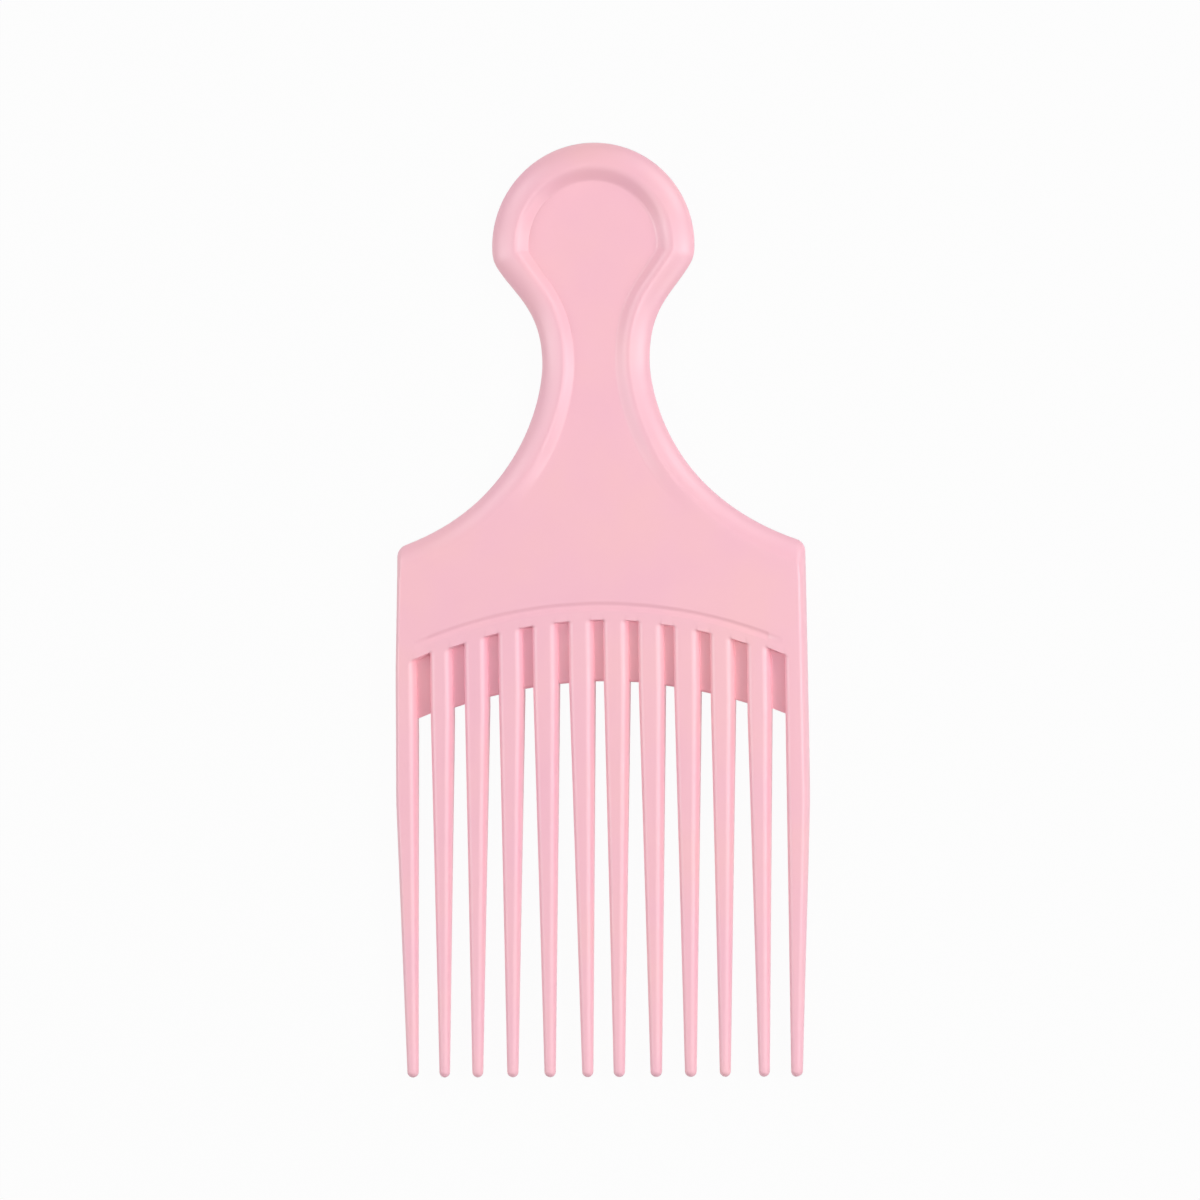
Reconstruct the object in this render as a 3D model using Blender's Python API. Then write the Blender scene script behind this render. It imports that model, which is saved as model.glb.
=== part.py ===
"""A wide-toothed hair pick, moulded in one piece, lying on its back.

X runs across the comb, Y along it with the handle at +Y, and Z through its
thickness, with the back resting at Z = 0. Lengths are in metres. The front and
the back are alike, on both sides of the parting plane at half the thickness.

The moulding is divided where its working parts meet: the handle, the spine
with the webs between the tooth roots, and the twelve teeth. Neighbours share
one flat section and meet there face to face.
"""
import math

import bmesh
import bpy

# Overall sizes
OVERALL_LENGTH = 0.1778
THICKNESS = 0.0050

# Handle outline, from the head down to the shoulders
HEAD_RADIUS = 0.0196
HEAD_SIDE_ANGLE = math.radians(3)
HEAD_CORNER_RADIUS = 0.0060
HEAD_TAPER_ANGLE = math.radians(32)
HEAD_TO_NECK = 0.0222
NECK_WIDTH = 0.0208
NECK_TO_SHOULDER = 0.0348
SHOULDER_WIDTH = 0.0790
SHOULDER_ANGLE = math.radians(70.5)
SHOULDER_RADIUS = 0.0024
SHOULDER_TO_HANDLE_END = 0.0060

# Raised rim of the handle and the panel inside it
CREST_INSET = 0.0042
NECK_CREST_INSET = 0.0040
SHOULDER_CREST_DROP = 0.0036
CREST_SHOULDER_RADIUS = 0.0010
RIM_SLOPE_WIDTH = 0.0030
NECK_SLOPE_WIDTH = 0.0024
SHOULDER_SLOPE_WIDTH = 0.0030
SHOULDER_SLOPE_DROP = 0.0008
INNER_CORNER_RADIUS = 0.0010
PANEL_RECESS = 0.0018
PANEL_FADE_TOP = 0.0060
PANEL_FADE_BOTTOM = 0.0030

# Spine, its side edges and the fine line above the slots
SIDE_EDGE_WIDTH = 0.0012
SHOULDER_TO_SLOTS = 0.0146
SIDE_SWELL = 0.0003
SHOULDER_TO_WIDEST = 0.0485
LINE_TO_SLOTS = 0.00335
LINE_RADIUS = 0.0923
LINE_SPAN = 0.0660
LINE_WIDTH = 0.0006
LINE_DEPTH = 0.00025

# Slots between the tooth roots and the webs at their floors
SLOT_ARC_RADIUS = 0.0887
SLOT_END_DRAFT = 0.00015
WEB_LENGTH = 0.0116
WEB_ARC_RADIUS = 0.0925
WEB_THICKNESS = 0.0016

# Teeth
TOOTH_COUNT = 12
END_TOOTH_INSET = 0.0019
ROOT_GAP = 0.0014
END_TOOTH_TRIM = 0.0004
TIP_WIDTH = 0.0022
TIP_DEPTH = 0.0022
TIP_BLUNT_ANGLE = math.radians(75)

# Shares of the sizes they follow: curve handles of their chords, the tips' pitch
# of the roots', flank widths of the tooth's, the soft start of the rim's inner slope
# of its width, and steps across an edge or a slope
UPPER_NECK_HANDLE_SHARES = (0.32, 0.51)
FLARE_HANDLE_SHARES = (0.125, 0.58)
TIP_PITCH_SHARE = 0.987
ROOT_FLANK_SHARE = 0.30
TIP_FLANK_SHARE = 0.48
SLOPE_SOFT_SHARE = 0.65
FLANK_STEP_SHARES = (0.3, 0.62)
RIM_EDGE_SHARES = (0.0, 0.07, 0.25, 0.5, 0.75, 1.0)
RIM_SLOPE_SHARES = (0.18, SLOPE_SOFT_SHARE, 1.0)

# Numbers of straight steps along curves
HEAD_STEPS = 14
CORNER_STEPS = 3
NECK_STEPS = 7
FLARE_STEPS = 10
SHOULDER_STEPS = 3
TOOTH_STEPS = 4
TIP_STEPS = 3

# Rows of the spine, counted from the handle's end, that get their own heights
LINE_FLOOR_ROW = 2
SLOT_FOOT_ROW = 5

# Edges that turn more than this stay crisp in the shading
SHARP_ANGLE = math.radians(35)

# Places along the comb that follow from the sizes
HALF_THICKNESS = THICKNESS / 2
TOP_Y = OVERALL_LENGTH / 2
TIP_Y = -TOP_Y
HEAD_Y = TOP_Y - HEAD_RADIUS
NECK_Y = HEAD_Y - HEAD_TO_NECK
SHOULDER_Y = NECK_Y - NECK_TO_SHOULDER
HANDLE_END_Y = SHOULDER_Y - SHOULDER_TO_HANDLE_END
SLOT_Y = SHOULDER_Y - SHOULDER_TO_SLOTS
WIDEST_Y = SHOULDER_Y - SHOULDER_TO_WIDEST
WEB_END_Y = SLOT_Y - WEB_LENGTH
LINE_Y = SLOT_Y + LINE_TO_SLOTS
ROOT_PITCH = (SHOULDER_WIDTH - 2 * END_TOOTH_INSET) / (TOOTH_COUNT - 1)
TIP_PITCH = ROOT_PITCH * TIP_PITCH_SHARE
TIP_RADIUS = TIP_WIDTH / 2
TIP_START_Y = TIP_Y + TIP_RADIUS * math.sin(TIP_BLUNT_ANGLE)

DOWN = (0.0, -1.0)
LEFT, RIGHT = -1, 1

# Soft-touch plastic: linear colour of sRGB 250, 194, 208
PLASTIC_COLOUR = (0.956, 0.539, 0.631, 1.0)
PLASTIC_ROUGHNESS = 0.45


def blend(start, end, share):
    """Value a share of the way from start to end."""
    return start + (end - start) * share


def clamp(share):
    return min(max(share, 0.0), 1.0)


def ease(share):
    """Soft step from 0 to 1, level at both ends."""
    return (1 - math.cos(math.pi * clamp(share))) / 2


def edge_height(share):
    """Quarter round: 0 at the parting plane, 1 where the edge meets the face."""
    return math.sqrt(1 - (1 - share) ** 2)


def edge_share(height):
    """Where the quarter round reaches a height, the inverse of edge_height."""
    return 1 - math.sqrt(1 - height ** 2)


def arc_drop(x, radius):
    """How far an arc that peaks on the comb's axis has fallen at x."""
    return radius - math.sqrt(radius ** 2 - x ** 2)


def arc_points(centre, radius, start, end, steps):
    angles = [blend(start, end, step / steps) for step in range(steps + 1)]
    return [(centre[0] + radius * math.cos(a), centre[1] + radius * math.sin(a)) for a in angles]


def curve_points(start, start_way, end, end_way, handle_shares, steps):
    """Cubic curve between two points that leaves and arrives along unit directions."""
    chord = math.dist(start, end)
    first = [p + w * chord * handle_shares[0] for p, w in zip(start, start_way)]
    second = [p - w * chord * handle_shares[1] for p, w in zip(end, end_way)]
    points = []
    for step in range(steps + 1):
        t = step / steps
        weights = ((1 - t) ** 3, 3 * t * (1 - t) ** 2, 3 * t * t * (1 - t), t ** 3)
        corners = zip(start, first, second, end)
        points.append(tuple(sum(w * c for w, c in zip(weights, axis)) for axis in corners))
    return points


def handle_contour(head_radius, corner_radius, neck_half, shoulder_x, shoulder_y, shoulder_radius):
    """Right half of a contour of the handle, from the top of the head to the handle's end."""
    head = arc_points((0, HEAD_Y), head_radius, math.pi / 2, -HEAD_SIDE_ANGLE, HEAD_STEPS)
    reach = head_radius - corner_radius
    corner_centre = (reach * math.cos(HEAD_SIDE_ANGLE), HEAD_Y - reach * math.sin(HEAD_SIDE_ANGLE))
    corner = arc_points(corner_centre, corner_radius, -HEAD_SIDE_ANGLE, -HEAD_TAPER_ANGLE, CORNER_STEPS)
    taper_way = (-math.sin(HEAD_TAPER_ANGLE), -math.cos(HEAD_TAPER_ANGLE))
    neck = (neck_half, NECK_Y)
    upper = curve_points(corner[-1], taper_way, neck, DOWN, UPPER_NECK_HANDLE_SHARES, NECK_STEPS)
    flare_way = (math.sin(SHOULDER_ANGLE), -math.cos(SHOULDER_ANGLE))
    trim = shoulder_radius * math.tan(SHOULDER_ANGLE / 2)
    flare_end = (shoulder_x - trim * flare_way[0], shoulder_y - trim * flare_way[1])
    flare = curve_points(neck, DOWN, flare_end, flare_way, FLARE_HANDLE_SHARES, FLARE_STEPS)
    shoulder_centre = (shoulder_x - shoulder_radius, shoulder_y - trim)
    shoulder = arc_points(shoulder_centre, shoulder_radius, SHOULDER_ANGLE, 0, SHOULDER_STEPS)
    return head + corner[1:] + upper[1:] + flare[1:] + shoulder[1:] + [(shoulder_x, HANDLE_END_Y)]


def panel_recess(y):
    """Depth of the handle's panel, full in the head and fading out above the shoulders."""
    fade_top = NECK_Y - PANEL_FADE_TOP
    fade_bottom = SHOULDER_Y + PANEL_FADE_BOTTOM
    return PANEL_RECESS * ease((y - fade_bottom) / (fade_top - fade_bottom))


def slope_drop(share):
    """Share of the recess a share of the way down the rim's inner slope, soft and then straight."""
    soft = SLOPE_SOFT_SHARE
    if share < soft:
        return share ** 2 / (2 * soft) / (1 - soft / 2)
    return (share - soft / 2) / (1 - soft / 2)


def taper_share(y):
    """0 at the slot tops and above, 1 where the tips begin to round."""
    return clamp((SLOT_Y - y) / (SLOT_Y - TIP_START_Y))


def tooth_width(y):
    return blend(ROOT_PITCH - ROOT_GAP, TIP_WIDTH, taper_share(y))


def tooth_axis(tooth, y):
    place = tooth - (TOOTH_COUNT - 1) / 2
    return place * blend(ROOT_PITCH, TIP_PITCH, taper_share(y))


def is_outer(tooth, side):
    """The flanks of the two end teeth that carry on the sides of the spine."""
    return (tooth, side) in ((0, LEFT), (TOOTH_COUNT - 1, RIGHT))


def side_line(y):
    """Half width over the spine and the end teeth."""
    shoulder_half = SHOULDER_WIDTH / 2
    widest_half = shoulder_half + SIDE_SWELL
    if y > WIDEST_Y:
        return blend(shoulder_half, widest_half, (HANDLE_END_Y - y) / (HANDLE_END_Y - WIDEST_Y))
    tip_half = tooth_axis(TOOTH_COUNT - 1, TIP_START_Y) + TIP_WIDTH / 2
    return blend(widest_half, tip_half, (WIDEST_Y - y) / (WIDEST_Y - TIP_START_Y))


def flank_line(tooth, side, y):
    """Where a flank of a tooth meets the parting plane; the slots' sides are parallel."""
    if is_outer(tooth, side):
        return side * side_line(y)
    y = min(y, tooth_end_y(tooth))
    trim = END_TOOTH_TRIM * (1 - taper_share(y)) if is_outer(tooth, -side) else 0
    return tooth_axis(tooth, y) + side * (tooth_width(y) / 2 - trim)


def flank_width(tooth, side, y):
    root_width = SIDE_EDGE_WIDTH if is_outer(tooth, side) else ROOT_FLANK_SHARE * tooth_width(SLOT_Y)
    return blend(root_width, TIP_FLANK_SHARE * TIP_WIDTH, taper_share(y))


def flank_x(tooth, side, share, y):
    return flank_line(tooth, side, y) - side * share * flank_width(tooth, side, y)


def tooth_end_y(tooth):
    """Flat section between the spine and a tooth, just clear of the webs beside it."""
    reach = abs(tooth_axis(tooth, SLOT_Y)) + ROOT_PITCH / 2
    return WEB_END_Y - arc_drop(reach, WEB_ARC_RADIUS)


def tooth_half_depth(tooth, y):
    end = tooth_end_y(tooth)
    return blend(THICKNESS, TIP_DEPTH, clamp((end - y) / (end - TIP_START_Y))) / 2


def flank_shares():
    """Steps round a flank, one of them where it meets the face of a web."""
    return (0.0, edge_share(WEB_THICKNESS / THICKNESS), *FLANK_STEP_SHARES, 1.0)


def tooth_columns(tooth):
    """Lines along a tooth's front, from its left side to its right."""
    shares = flank_shares()
    left = [(tooth, LEFT, share) for share in shares]
    return left + [(tooth, RIGHT, share) for share in reversed(shares)]


class Shell:
    """A closed mesh made alike on the front and the back of the parting plane."""

    def __init__(self, origin):
        self.origin = origin
        self.mesh = bmesh.new()

    def pair(self, x, y, half):
        """The front and back points at one place, a single point on the parting plane."""
        local = (x - self.origin[0], y - self.origin[1])
        front = self.mesh.verts.new((*local, half))
        back = self.mesh.verts.new((*local, -half)) if half else front
        return front, back

    def face(self, *pairs):
        self.mesh.faces.new([front for front, back in pairs])
        self.mesh.faces.new([back for front, back in reversed(pairs)])

    def band(self, upper, lower):
        """Faces between two lines of pairs that run side by side."""
        for index in range(len(upper) - 1):
            self.face(lower[index], lower[index + 1], upper[index + 1], upper[index])

    def cap(self, section):
        """Flat end that joins the front to the back along a line of pairs."""
        for (front, back), (next_front, next_back) in zip(section, section[1:]):
            corners = dict.fromkeys((front, next_front, next_back, back))
            self.mesh.faces.new(list(corners))

    def make_object(self, name, parent):
        bmesh.ops.recalc_face_normals(self.mesh, faces=self.mesh.faces)
        data = bpy.data.meshes.new(name)
        self.mesh.to_mesh(data)
        self.mesh.free()
        data.shade_smooth()
        data.set_sharp_from_angle(angle=SHARP_ANGLE)
        data.materials.append(soft_touch_plastic(name))
        part = bpy.data.objects.new(name, data)
        part.location = (*self.origin, 0.0)
        part.parent = parent
        bpy.context.scene.collection.objects.link(part)


def soft_touch_plastic(name):
    material = bpy.data.materials.new(name + "_plastic")
    material.use_nodes = True
    shader = material.node_tree.nodes["Principled BSDF"]
    shader.inputs["Base Color"].default_value = PLASTIC_COLOUR
    shader.inputs["Roughness"].default_value = PLASTIC_ROUGHNESS
    shader.inputs["Metallic"].default_value = 0.0
    return material


def rim_contours():
    """Right halves of the three contours that the rim is lofted through."""
    shoulder_half = SHOULDER_WIDTH / 2
    outline = handle_contour(HEAD_RADIUS, HEAD_CORNER_RADIUS, NECK_WIDTH / 2,
                             shoulder_half, SHOULDER_Y, SHOULDER_RADIUS)
    crest_half = NECK_WIDTH / 2 - NECK_CREST_INSET
    crest_x = shoulder_half - SIDE_EDGE_WIDTH
    crest_y = SHOULDER_Y - SHOULDER_CREST_DROP
    crest = handle_contour(HEAD_RADIUS - CREST_INSET, HEAD_CORNER_RADIUS - CREST_INSET, crest_half,
                           crest_x, crest_y, CREST_SHOULDER_RADIUS)
    foot = handle_contour(HEAD_RADIUS - CREST_INSET - RIM_SLOPE_WIDTH, INNER_CORNER_RADIUS,
                          crest_half - NECK_SLOPE_WIDTH, crest_x - SHOULDER_SLOPE_WIDTH,
                          crest_y - SHOULDER_SLOPE_DROP, CREST_SHOULDER_RADIUS)
    return outline, crest, foot


def loft_lines():
    """Right halves of all the handle's lines, as points with their half thickness."""
    outline, crest, foot = rim_contours()
    lines = []
    for share in RIM_EDGE_SHARES:
        half = HALF_THICKNESS * edge_height(share)
        pairs = zip(outline, crest)
        lines.append([(blend(a[0], b[0], share), blend(a[1], b[1], share), half) for a, b in pairs])
    for share in RIM_SLOPE_SHARES:
        line = []
        for a, b in zip(crest, foot):
            y = blend(a[1], b[1], share)
            half = HALF_THICKNESS - panel_recess(y) * slope_drop(share)
            line.append((blend(a[0], b[0], share), y, half))
        lines.append(line)
    return lines


def make_handle(parent):
    shell = Shell((0.0, NECK_Y))
    lines = []
    for points in loft_lines():
        right = [shell.pair(*point) for point in points]
        left = [shell.pair(-x, y, half) for x, y, half in points[1:]]
        lines.append(left[::-1] + right)
    for outer, inner in zip(lines, lines[1:]):
        shell.band(outer, inner)
    foot = lines[-1]
    top = len(foot) // 2
    shell.face(foot[top - 1], foot[top + 1], foot[top])
    for step in range(1, top):
        shell.face(foot[top - step - 1], foot[top + step + 1], foot[top + step], foot[top - step])
    left_end = [line[0] for line in lines]
    right_end = [line[-1] for line in lines]
    shell.cap(left_end + right_end[::-1])
    shell.make_object("handle", parent)


def spine_rows(x):
    """Heights of the rows across the spine at x, from the handle to the webs' ends."""
    line_y = LINE_Y - arc_drop(x, LINE_RADIUS)
    slot_y = SLOT_Y - arc_drop(x, SLOT_ARC_RADIUS)
    web_end_y = WEB_END_Y - arc_drop(x, WEB_ARC_RADIUS)
    line_edges = (line_y + LINE_WIDTH / 2, line_y, line_y - LINE_WIDTH / 2)
    return (HANDLE_END_Y, *line_edges, slot_y, slot_y - SLOT_END_DRAFT, web_end_y)


def spine_column(shell, tooth, side, share):
    """Pairs down one line of the spine, from the handle's end to the web's end."""
    x_at_slot = flank_x(tooth, side, share, SLOT_Y)
    column = []
    for row, y in enumerate(spine_rows(x_at_slot)):
        x = flank_x(tooth, side, share, y)
        half = HALF_THICKNESS
        if is_outer(tooth, side) or row >= SLOT_FOOT_ROW:
            half *= edge_height(share)
        elif row == LINE_FLOOR_ROW and abs(x) < LINE_SPAN / 2:
            half -= LINE_DEPTH
        column.append(shell.pair(x, y, half))
    return column


def spine_tooth(shell, tooth):
    """Columns of one tooth's width of the spine, and the flat section under it."""
    end_y = tooth_end_y(tooth)
    columns = []
    section = []
    for _, side, share in tooth_columns(tooth):
        if share or is_outer(tooth, side):
            columns.append(spine_column(shell, tooth, side, share))
        half = HALF_THICKNESS * edge_height(share)
        section.append(shell.pair(flank_x(tooth, side, share, end_y), end_y, half))
    return columns, section


def web_corner(shell, tooth, side):
    """Point on the parting plane where a web's end meets a flank."""
    x_at_slot = flank_x(tooth, side, 0.0, SLOT_Y)
    y = spine_rows(x_at_slot)[-1]
    return shell.pair(flank_x(tooth, side, 0.0, y), y, 0.0)


def split_band(shell, left, right, row, slot_side):
    """The two triangles where a slot's end wall runs into a flank."""
    top_left, top_right = left[row - 1], right[row - 1]
    low_left, low_right = left[row], right[row]
    if slot_side == RIGHT:
        shell.face(top_left, low_right, top_right)
        shell.face(top_left, low_left, low_right)
    else:
        shell.face(top_left, low_left, top_right)
        shell.face(top_right, low_left, low_right)


def make_spine(parent):
    shell = Shell((0.0, HANDLE_END_Y))
    all_columns = []
    last_corner = None
    for tooth in range(TOOTH_COUNT):
        columns, section = spine_tooth(shell, tooth)
        ends = [column[-1] for column in columns]
        left_corner = right_corner = None
        if not is_outer(tooth, LEFT):
            left_corner = web_corner(shell, tooth, LEFT)
            ends.insert(0, left_corner)
        if not is_outer(tooth, RIGHT):
            right_corner = web_corner(shell, tooth, RIGHT)
            ends.append(right_corner)
        shell.band(ends, section)
        shell.cap(section)
        if left_corner:
            shell.face(last_corner, left_corner, columns[0][-1], all_columns[-1][-1])
        last_corner = right_corner
        all_columns += columns
    add_spine_faces(shell, all_columns)
    shell.cap([column[0] for column in all_columns])
    shell.make_object("spine", parent)


def add_spine_faces(shell, columns):
    """Faces between the spine's columns, from the handle's end to the webs' ends."""
    for index in range(len(columns) - 1):
        left, right = columns[index], columns[index + 1]
        for row in range(1, len(left)):
            if row == SLOT_FOOT_ROW:
                falls_right = right[row][0].co.z < left[row][0].co.z
                split_band(shell, left, right, row, RIGHT if falls_right else LEFT)
            else:
                shell.face(left[row], right[row], right[row - 1], left[row - 1])


def make_tooth(tooth, parent):
    end_y = tooth_end_y(tooth)
    shell = Shell((tooth_axis(tooth, end_y), end_y))
    sections = []
    for step in range(TOOTH_STEPS + 1):
        y = blend(end_y, TIP_START_Y, step / TOOTH_STEPS)
        half_depth = tooth_half_depth(tooth, y)
        sections.append([shell.pair(flank_x(tooth, side, share, y), y, half_depth * edge_height(share))
                         for _, side, share in tooth_columns(tooth)])
    axis = tooth_axis(tooth, TIP_START_Y)
    for step in range(1, TIP_STEPS + 1):
        angle = TIP_BLUNT_ANGLE * step / TIP_STEPS
        scale = math.cos(angle)
        y = TIP_START_Y - TIP_RADIUS * math.sin(angle)
        section = []
        for _, side, share in tooth_columns(tooth):
            x = axis + (flank_x(tooth, side, share, TIP_START_Y) - axis) * scale
            section.append(shell.pair(x, y, TIP_DEPTH / 2 * edge_height(share) * scale))
        sections.append(section)
    for upper, lower in zip(sections, sections[1:]):
        shell.band(upper, lower)
    shell.cap(sections[0])
    shell.cap(sections[-1])
    shell.make_object(f"tooth_{tooth + 1:02d}", parent)


def main():
    for old in list(bpy.data.objects):
        bpy.data.objects.remove(old, do_unlink=True)
    comb = bpy.data.objects.new("comb", None)
    comb.location.z = HALF_THICKNESS
    bpy.context.scene.collection.objects.link(comb)
    make_handle(comb)
    make_spine(comb)
    for tooth in range(TOOTH_COUNT):
        make_tooth(tooth, comb)


main()
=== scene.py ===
"""Studio picture of a wide-toothed hair pick that lies on its back on a white table.

X runs across the comb, Y along it with the handle at +Y, and Z up, with the table
at Z = 0. Lengths are in metres. The front and the back are alike, on both sides of
the parting plane at half the thickness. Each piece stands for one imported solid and
meets its neighbours on the same flat sections. It adds the fine shapes that the
solids leave out: the smooth rim, the soft ends of the slots and the webs, and the
slight unevenness of the photographed comb.
"""
import math

import bmesh
import bpy
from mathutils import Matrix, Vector


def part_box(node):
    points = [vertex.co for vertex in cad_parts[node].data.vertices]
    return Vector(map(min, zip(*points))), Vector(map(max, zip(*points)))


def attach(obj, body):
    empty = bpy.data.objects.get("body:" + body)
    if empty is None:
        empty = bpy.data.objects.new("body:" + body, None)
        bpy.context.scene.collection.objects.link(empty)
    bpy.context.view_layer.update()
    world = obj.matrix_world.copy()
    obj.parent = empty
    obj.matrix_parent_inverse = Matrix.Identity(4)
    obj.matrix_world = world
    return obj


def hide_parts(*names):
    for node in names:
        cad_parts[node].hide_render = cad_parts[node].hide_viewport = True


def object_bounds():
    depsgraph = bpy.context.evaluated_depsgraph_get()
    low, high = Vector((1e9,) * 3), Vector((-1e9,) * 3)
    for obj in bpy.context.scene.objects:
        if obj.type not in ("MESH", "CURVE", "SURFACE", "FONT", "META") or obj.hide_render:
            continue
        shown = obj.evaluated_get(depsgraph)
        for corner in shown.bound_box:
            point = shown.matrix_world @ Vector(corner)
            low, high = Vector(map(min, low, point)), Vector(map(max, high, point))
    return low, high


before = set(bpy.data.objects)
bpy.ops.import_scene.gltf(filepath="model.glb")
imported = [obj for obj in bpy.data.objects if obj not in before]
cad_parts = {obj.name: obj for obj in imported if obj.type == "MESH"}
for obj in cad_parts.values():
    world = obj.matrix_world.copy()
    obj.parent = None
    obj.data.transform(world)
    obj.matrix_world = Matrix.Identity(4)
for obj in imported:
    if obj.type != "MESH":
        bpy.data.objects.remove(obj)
CAD_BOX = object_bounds()
CAD_LOW, CAD_HIGH = CAD_BOX

# Overall sizes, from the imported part
OVERALL_LENGTH = CAD_HIGH.y - CAD_LOW.y
THICKNESS = CAD_HIGH.z - CAD_LOW.z
HALF_THICKNESS = THICKNESS / 2
TOP_Y = CAD_HIGH.y
TIP_Y = CAD_LOW.y
SHOULDER_WIDTH = 2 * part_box("handle")[1].x
HANDLE_END_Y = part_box("handle")[0].y

# Handle outline, from the head down to the shoulders
HEAD_RADIUS = 0.0196
HEAD_SIDE_ANGLE = math.radians(3)
HEAD_CORNER_RADIUS = 0.0060
HEAD_TAPER_ANGLE = math.radians(32)
HEAD_TO_NECK = 0.0222
NECK_WIDTH = 0.0208
NECK_TO_SHOULDER = 0.0348
SHOULDER_ANGLE = math.radians(70.5)
SHOULDER_RADIUS = 0.0024

# Raised rim of the handle and the panel inside it
CREST_INSET = 0.0042
NECK_CREST_INSET = 0.0040
SHOULDER_CREST_DROP = 0.0041
CREST_SHOULDER_RADIUS = 0.0010
RIM_SLOPE_WIDTH = 0.0030
NECK_SLOPE_WIDTH = 0.0024
SHOULDER_SLOPE_WIDTH = 0.0030
SHOULDER_SLOPE_DROP = 0.0008
INNER_CORNER_RADIUS = 0.0010
FOOT_FILLET = 0.00025
PANEL_RECESS = 0.0017
NECK_PANEL_RECESS = 0.0012
PANEL_FADE_TOP = 0.0060
PANEL_FADE_BOTTOM = 0.0030

# Spine, its side edges and the fine line above the slots
SIDE_EDGE_WIDTH = 0.0011
SHOULDER_TO_SLOTS = 0.01425
SIDE_SWELL = 0.0003
SHOULDER_TO_WIDEST = 0.0485
LINE_TO_SLOTS = 0.0030
LINE_RADIUS = 0.0923
LINE_SPAN = 0.0668
LINE_END_FADE = 0.0006
LINE_WIDTH = 0.0012
LINE_DEPTH = 0.00033

# Slots between the tooth roots and the webs at their floors
SLOT_ARC_RADIUS = 0.0887
SLOT_WALL_RUN = 0.00035
WEB_LENGTH = 0.01175
WEB_ARC_RADIUS = 0.0925
WEB_TOP_HALF = 0.0007
WEB_END_HALF = 0.0005
WEB_OUTER_DROP = 0.0004
WEB_EDGE_LENGTH = 0.0006
BEVEL_RUN = 0.0009

# Teeth
TOOTH_COUNT = 12
END_TOOTH_INSET = 0.0019
ROOT_GAP = 0.0014
END_TOOTH_TRIM = 0.0004
TIP_WIDTH = 0.0022
TIP_DEPTH = 0.0022
TIP_BLUNT_ANGLE = math.radians(84)
DEPTH_EASE_LENGTH = 0.0100

# Control arms of the curves from the head to the neck and on to the shoulder, as shares
# of each curve's chord
UPPER_NECK_ARM_SHARES = (0.32, 0.51)
FLARE_ARM_SHARES = (0.125, 0.58)

# The part of the rim's inner slope that starts softly, as a share of its width
SLOPE_SOFT_SHARE = 0.5

# The tips' pitch as a share of the roots' pitch, and flank widths as shares of a tooth's
# width at its root and at its tip
TIP_PITCH_SHARE = 0.987
ROOT_FLANK_SHARE = 0.25
TIP_FLANK_SHARE = 0.48

# How far in from its edges a tooth's flat front has its inner columns of points, and how
# far up a flank the bevel at a slot's top is full
FACE_SUPPORT_SHARE = 0.16
BEVEL_RUN_SHARE = 0.6

# The arc line's profile from its upper side down, as shares of its width and its depth
LINE_OFFSET_SHARES = (0.60, 0.48, 0.30, 0.12, -0.06, -0.25, -0.5, -0.8, -1.1, -1.2)
LINE_DEPTH_SHARES = (0.0, 0.0, 0.15, 0.5, 0.85, 1.0, 0.9, 0.45, 0.0, 0.0)

# Powers of the rounds: more than an ellipse's comes closer to a ridge, which the rim
# reaches over a short run above the handle's end, and less makes a flank steep below
# its round
ELLIPSE_POWER = 1.0
RIDGE_POWER = 1.4
RIDGE_RUN = 0.004
ROOT_FLANK_POWER = 0.6

# Numbers of straight steps along curves
HEAD_STEPS = 64
CORNER_STEPS = 8
NECK_STEPS = 24
FLARE_STEPS = 36
SHOULDER_STEPS = 8
RIM_EDGE_STEPS = 12
RIM_SLOPE_STEPS = 8
FLANK_STEPS = 8
WEB_EDGE_STEPS = 4
SLOT_WALL_STEPS = 5
WEB_ROWS = 3
TOOTH_STEPS = 24
TIP_STEPS = 8

# The photograph's frame, with the comb's length and middle in its pixels, the comb's
# lean, and the angle from which the camera looks past the comb's right side
PHOTO_SIZE_PX = 1200
COMB_LENGTH_PX = 934.5
COMB_MIDDLE_PX = (598.9, 609.8)
COMB_LEAN = math.radians(0.78)
PIXEL = OVERALL_LENGTH / COMB_LENGTH_PX
CAMERA_DISTANCE = 1.5
CAMERA_SIDE_ANGLE = math.radians(10.8)

# The photographed comb's unevenness in its pixels, from left to right: how far each
# tooth's tip lies to the right of even
TIP_DRIFT_PX = (-1.3, -4.4, -6, -5.4, -2.6, 0, -3.2, -1, -1.5, -2, 1.5, -1.6)

# How much wider each slot is, and how far it lies to the right and up. A share of the
# first two is gone at the tips.
SLOT_WIDER_PX = (1.6, 1.6, 0.3, -0.3, 1, 0, -0.4, -0.4, 0, 2.2, 1.8)
SLOT_SHIFT_PX = (0.7, 0.2, 0, -0.3, 0, 0, -0.4, -0.4, 0.3, 0.3, 1.3)
SLOT_LIFT_PX = (2.3, -0.9, -0.6, -0.2, 0, 0.5, 0.6, 0, 0.2, 0.4, 4)
SLOT_FADE_SHARE = 0.6

# How far the handle's middle lies to the right at three places along it, and how far the
# right side of the comb does at its tip
HEAD_SHIFT_PX = -1.0
NECK_SHIFT_PX = 0.3
SHOULDER_SHIFT_PX = 2.2
TIP_SIDE_SHIFT_PX = 1.2

# How far the rim's crest lies to the right besides that, growing over a run above the
# shoulders
CREST_SHIFT_PX = 2.4
CREST_SHIFT_RUN = 0.030

# Flat sections between the spine and the teeth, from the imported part
TOOTH_ENDS_Y = [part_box(f"tooth_{tooth + 1:02d}")[1].y for tooth in range(TOOTH_COUNT)]

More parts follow.
